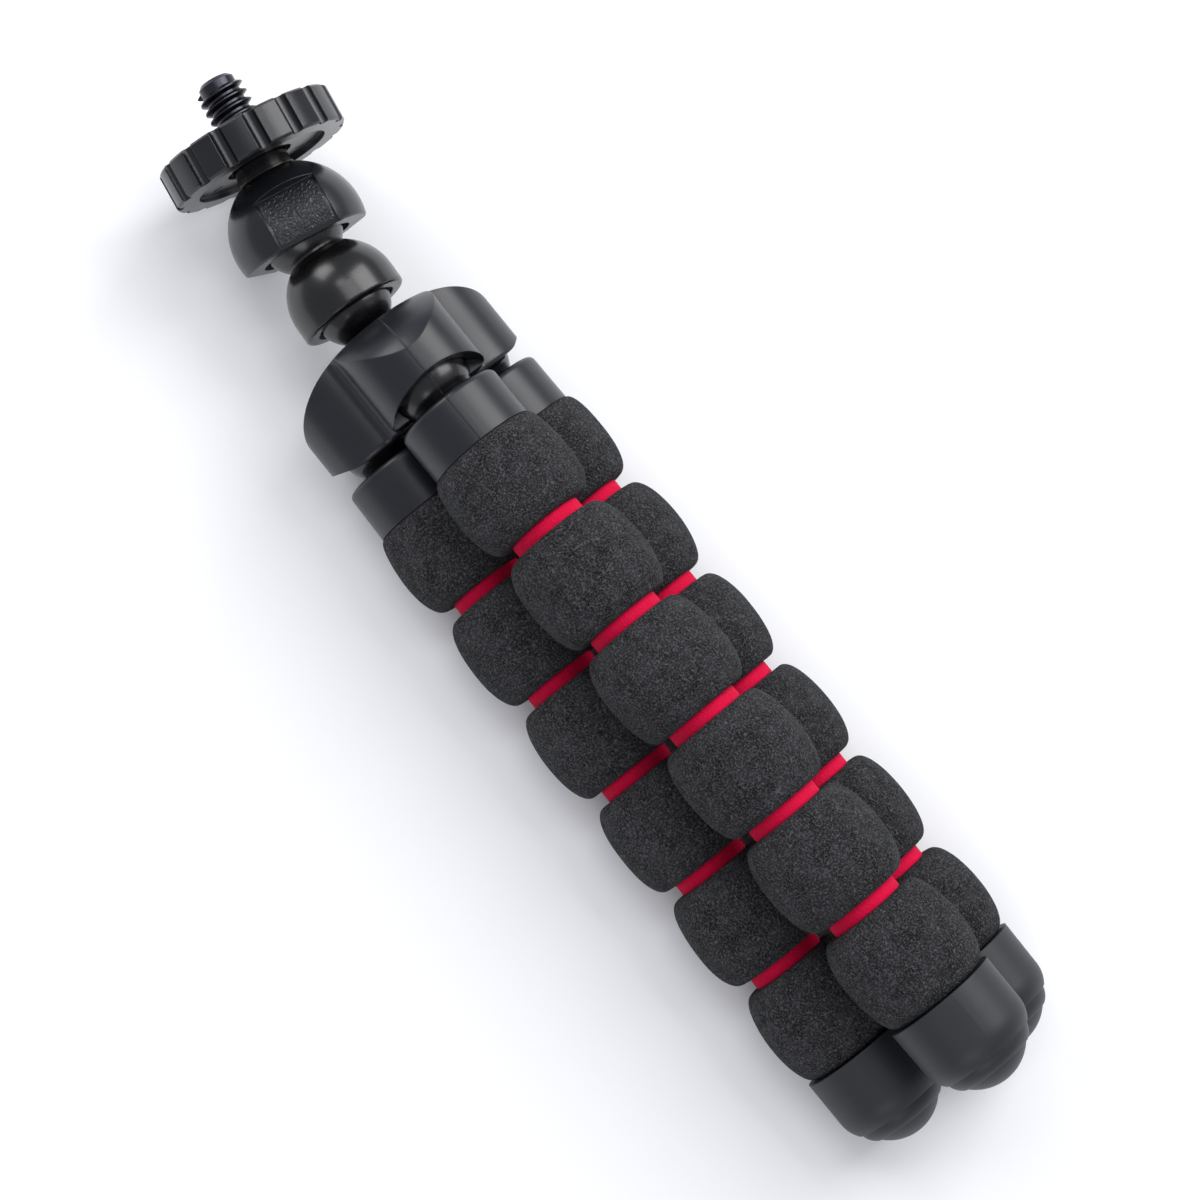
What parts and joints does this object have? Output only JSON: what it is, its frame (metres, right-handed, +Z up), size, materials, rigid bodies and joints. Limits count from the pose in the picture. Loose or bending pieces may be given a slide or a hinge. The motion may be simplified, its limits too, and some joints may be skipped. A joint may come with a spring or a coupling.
{
  "type": "flexible leg tripod",
  "caption": "Small camera tripod with bendable foam covered legs on ball joints, rubber feet and a double ball head that ends in a screw with a lock wheel.",
  "frame": {"origin": "on the table under the middle of the whole tripod's box, as it lies", "axes": "+X from the camera screw toward the feet, +Z up from the table, leg a on top, leg b at -Y and leg c at +Y"},
  "size_m": [0.1636, 0.0344, 0.0321],
  "materials": {
    "black_satin_plastic": "satin",
    "black_gloss_plastic": "polished",
    "black_metal": "satin black",
    "brass_bush": "turned",
    "zinc_steel": "zinc plated",
    "white_nylon": "satin",
    "charcoal_foam": "open cell foam",
    "red_foam": "foam",
    "black_rubber": "satin",
    "aluminium_wire": "drawn"
  },
  "bodies": {
    "hub": {"hub_cover": "black_satin_plastic", "socket_plate": "black_satin_plastic", "hub_screws": "zinc_steel"},
    "lower_stud": {"lower_ball_stud": "black_gloss_plastic", "stud_nut": "zinc_steel"},
    "link": {"link": "black_gloss_plastic"},
    "upper_seat": {"upper_ball_seat": "white_nylon"},
    "upper_head": {"upper_socket": "black_satin_plastic", "head_neck": "black_satin_plastic", "camera_screw": "black_metal"},
    "wheel": {"lock_wheel": "black_satin_plastic", "wheel_insert": "brass_bush"},
    "leg_a_stud": {"leg_a_ball_stud": "black_gloss_plastic"},
    "leg_a_1": {"leg_a_collar": "black_satin_plastic", "leg_a_foam_1": "charcoal_foam", "leg_a_core_wire": "aluminium_wire"},
    "leg_a_2": {"leg_a_ring_1": "red_foam", "leg_a_foam_2": "charcoal_foam"},
    "leg_a_3": {"leg_a_ring_2": "red_foam", "leg_a_foam_3": "charcoal_foam"},
    "leg_a_4": {"leg_a_ring_3": "red_foam", "leg_a_foam_4": "charcoal_foam"},
    "leg_a_5": {"leg_a_ring_4": "red_foam", "leg_a_foam_5": "charcoal_foam"},
    "leg_a_6": {"leg_a_ring_5": "red_foam", "leg_a_foam_6": "charcoal_foam", "leg_a_foot": "black_rubber"},
    "leg_b_stud": {"leg_b_ball_stud": "black_gloss_plastic"},
    "leg_b_1": {"leg_b_collar": "black_satin_plastic", "leg_b_foam_1": "charcoal_foam", "leg_b_core_wire": "aluminium_wire"},
    "leg_b_2": {"leg_b_ring_1": "red_foam", "leg_b_foam_2": "charcoal_foam"},
    "leg_b_3": {"leg_b_ring_2": "red_foam", "leg_b_foam_3": "charcoal_foam"},
    "leg_b_4": {"leg_b_ring_3": "red_foam", "leg_b_foam_4": "charcoal_foam"},
    "leg_b_5": {"leg_b_ring_4": "red_foam", "leg_b_foam_5": "charcoal_foam"},
    "leg_b_6": {"leg_b_ring_5": "red_foam", "leg_b_foam_6": "charcoal_foam", "leg_b_foot": "black_rubber"},
    "leg_c_stud": {"leg_c_ball_stud": "black_gloss_plastic"},
    "leg_c_1": {"leg_c_collar": "black_satin_plastic", "leg_c_foam_1": "charcoal_foam", "leg_c_core_wire": "aluminium_wire"},
    "leg_c_2": {"leg_c_ring_1": "red_foam", "leg_c_foam_2": "charcoal_foam"},
    "leg_c_3": {"leg_c_ring_2": "red_foam", "leg_c_foam_3": "charcoal_foam"},
    "leg_c_4": {"leg_c_ring_3": "red_foam", "leg_c_foam_4": "charcoal_foam"},
    "leg_c_5": {"leg_c_ring_4": "red_foam", "leg_c_foam_5": "charcoal_foam"},
    "leg_c_6": {"leg_c_ring_5": "red_foam", "leg_c_foam_6": "charcoal_foam", "leg_c_foot": "black_rubber"}
  },
  "joints": [
    {"name": "head_lower_pan", "type": "hinge", "parent": "hub", "child": "lower_stud", "pos_m": [-0.04756, 0, 0.01349], "axis": [-1, 0, 0], "continuous": true},
    {"name": "head_lower_tilt", "type": "hinge", "parent": "lower_stud", "child": "link", "pos_m": [-0.04756, 0, 0.01349], "axis": [0, 0, 1], "range_deg": [-9, 17]},
    {"name": "head_upper_tilt", "type": "hinge", "parent": "link", "child": "upper_seat", "pos_m": [-0.05938, 0.00081, 0.01349], "axis": [0, 0, 1], "range_deg": [-16, 28]},
    {"name": "head_upper_pan", "type": "hinge", "parent": "upper_seat", "child": "upper_head", "pos_m": [-0.05938, 0.00081, 0.01349], "axis": [-0.9832, 0.154, 0.0976], "continuous": true},
    {"name": "head_wheel_turn", "type": "hinge", "parent": "upper_head", "child": "wheel", "pos_m": [-0.06882, 0.00228, 0.01442], "axis": [-0.9832, 0.154, 0.0976], "range_deg": [0, 1080]},
    {"name": "leg_a_swing", "type": "hinge", "parent": "hub", "child": "leg_a_stud", "pos_m": [-0.03206, 0, 0.02249], "axis": [0, -1, 0], "range_deg": [0, 28]},
    {"name": "leg_a_swivel", "type": "hinge", "parent": "leg_a_stud", "child": "leg_a_1", "pos_m": [-0.03206, 0, 0.02249], "axis": [0.9997, 0, 0.0262], "range_deg": [-25, 25]},
    {"name": "leg_a_bend_1", "type": "hinge", "parent": "leg_a_1", "child": "leg_a_2", "pos_m": [-0.00767, 0, 0.02312], "axis": [0, -1, 0], "range_deg": [0, 15], "deforming": ["leg_a_ring_1", "leg_a_core_wire"]},
    {"name": "leg_a_bend_2", "type": "hinge", "parent": "leg_a_2", "child": "leg_a_3", "pos_m": [0.00775, 0.00011, 0.02329], "axis": [0, -1, 0], "range_deg": [0, 15], "deforming": ["leg_a_ring_2", "leg_a_core_wire"]},
    {"name": "leg_a_bend_3", "type": "hinge", "parent": "leg_a_3", "child": "leg_a_4", "pos_m": [0.02317, 0.00035, 0.02342], "axis": [0, -1, 0], "range_deg": [0, 15], "deforming": ["leg_a_ring_3", "leg_a_core_wire"]},
    {"name": "leg_a_bend_4", "type": "hinge", "parent": "leg_a_4", "child": "leg_a_5", "pos_m": [0.03859, 0.00059, 0.02355], "axis": [0, -1, 0], "range_deg": [0, 15], "deforming": ["leg_a_ring_4", "leg_a_core_wire"]},
    {"name": "leg_a_bend_5", "type": "hinge", "parent": "leg_a_5", "child": "leg_a_6", "pos_m": [0.054, 0.00083, 0.02369], "axis": [0, -1, 0], "range_deg": [0, 15], "deforming": ["leg_a_ring_5", "leg_a_core_wire"]},
    {"name": "leg_b_swing", "type": "hinge", "parent": "hub", "child": "leg_b_stud", "pos_m": [-0.03206, -0.00779, 0.00899], "axis": [0, 0, -1], "range_deg": [0, 22]},
    {"name": "leg_b_swivel", "type": "hinge", "parent": "leg_b_stud", "child": "leg_b_1", "pos_m": [-0.03206, -0.00779, 0.00899], "axis": [0.9997, -0.0227, -0.0131], "range_deg": [-25, 25]},
    {"name": "leg_b_bend_1", "type": "hinge", "parent": "leg_b_1", "child": "leg_b_2", "pos_m": [-0.00767, -0.00835, 0.00867], "axis": [0, 0, -1], "range_deg": [0, 15], "deforming": ["leg_b_ring_1", "leg_b_core_wire"]},
    {"name": "leg_b_bend_2", "type": "hinge", "parent": "leg_b_2", "child": "leg_b_3", "pos_m": [0.00775, -0.00849, 0.00859], "axis": [0, 0, -1], "range_deg": [0, 15], "deforming": ["leg_b_ring_2", "leg_b_core_wire"]},
    {"name": "leg_b_bend_3", "type": "hinge", "parent": "leg_b_3", "child": "leg_b_4", "pos_m": [0.02317, -0.0086, 0.00852], "axis": [0, 0, -1], "range_deg": [0, 15], "deforming": ["leg_b_ring_3", "leg_b_core_wire"]},
    {"name": "leg_b_bend_4", "type": "hinge", "parent": "leg_b_4", "child": "leg_b_5", "pos_m": [0.03859, -0.00872, 0.00845], "axis": [0, 0, -1], "range_deg": [0, 15], "deforming": ["leg_b_ring_4", "leg_b_core_wire"]},
    {"name": "leg_b_bend_5", "type": "hinge", "parent": "leg_b_5", "child": "leg_b_6", "pos_m": [0.05401, -0.00884, 0.00838], "axis": [0, 0, -1], "range_deg": [0, 15], "deforming": ["leg_b_ring_5", "leg_b_core_wire"]},
    {"name": "leg_c_swing", "type": "hinge", "parent": "hub", "child": "leg_c_stud", "pos_m": [-0.03206, 0.00779, 0.00899], "axis": [0, 0, 1], "range_deg": [0, 22]},
    {"name": "leg_c_swivel", "type": "hinge", "parent": "leg_c_stud", "child": "leg_c_1", "pos_m": [-0.03206, 0.00779, 0.00899], "axis": [-0.9997, -0.0227, 0.0131], "range_deg": [-25, 25]},
    {"name": "leg_c_bend_1", "type": "hinge", "parent": "leg_c_1", "child": "leg_c_2", "pos_m": [-0.00767, 0.00835, 0.00867], "axis": [0, 0, 1], "range_deg": [0, 15], "deforming": ["leg_c_ring_1", "leg_c_core_wire"]},
    {"name": "leg_c_bend_2", "type": "hinge", "parent": "leg_c_2", "child": "leg_c_3", "pos_m": [0.00775, 0.00849, 0.00859], "axis": [0, 0, 1], "range_deg": [0, 15], "deforming": ["leg_c_ring_2", "leg_c_core_wire"]},
    {"name": "leg_c_bend_3", "type": "hinge", "parent": "leg_c_3", "child": "leg_c_4", "pos_m": [0.02317, 0.0086, 0.00852], "axis": [0, 0, 1], "range_deg": [0, 15], "deforming": ["leg_c_ring_3", "leg_c_core_wire"]},
    {"name": "leg_c_bend_4", "type": "hinge", "parent": "leg_c_4", "child": "leg_c_5", "pos_m": [0.03859, 0.00872, 0.00845], "axis": [0, 0, 1], "range_deg": [0, 15], "deforming": ["leg_c_ring_4", "leg_c_core_wire"]},
    {"name": "leg_c_bend_5", "type": "hinge", "parent": "leg_c_5", "child": "leg_c_6", "pos_m": [0.05401, 0.00884, 0.00838], "axis": [0, 0, 1], "range_deg": [0, 15], "deforming": ["leg_c_ring_5", "leg_c_core_wire"]}
  ]
}
